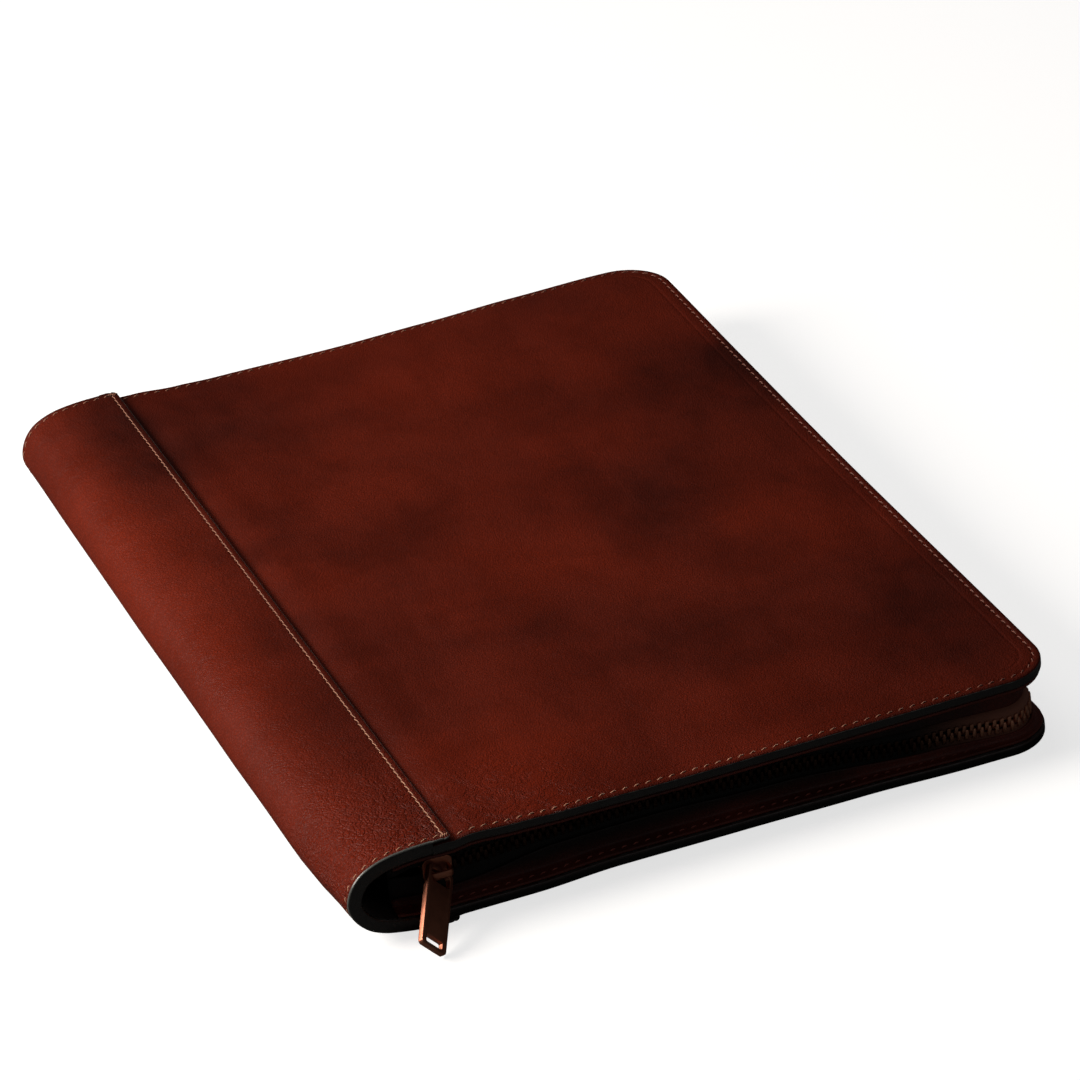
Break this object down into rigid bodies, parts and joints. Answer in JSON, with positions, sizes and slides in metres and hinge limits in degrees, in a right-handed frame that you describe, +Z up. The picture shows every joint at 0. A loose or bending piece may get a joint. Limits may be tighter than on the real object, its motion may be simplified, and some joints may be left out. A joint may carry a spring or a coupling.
{
  "type": "leather document case",
  "caption": "Zip-around leather document case for A4 sheets, zipped shut and lying flat, with a wrapped spine, stitched covers and a metal zip with a swinging pull tab.",
  "frame": {"origin": "on the table under the middle of the back cover", "axes": "+Z up from the table, +Y along the spine to the far end, +X from the spine to the open side"},
  "size_m": [0.2498, 0.3692, 0.0334],
  "materials": {
    "cover_leather": "semi-gloss pull-up leather",
    "gusset_leather": "satin",
    "zip_tape": "matte woven",
    "zip_metal": "antique copper plating"
  },
  "bodies": {
    "case": {"spine_panel": "cover_leather", "front_cover": "cover_leather", "back_cover": "cover_leather", "lower_gusset": "gusset_leather", "upper_gusset": "gusset_leather", "zip_tape_lower": "zip_tape", "zip_tape_upper": "zip_tape", "zip_chain": "zip_metal", "zip_bottom_stop": "zip_metal", "zip_slider": "zip_metal"},
    "puller": {"zip_puller": "zip_metal"}
  },
  "joints": [
    {"name": "puller_swing", "type": "hinge", "parent": "case", "child": "puller", "pos_m": [-0.0908, -0.1711, 0.0173], "axis": [0.655, 0.0643, -0.7529], "range_deg": [-88, 0]}
  ]
}
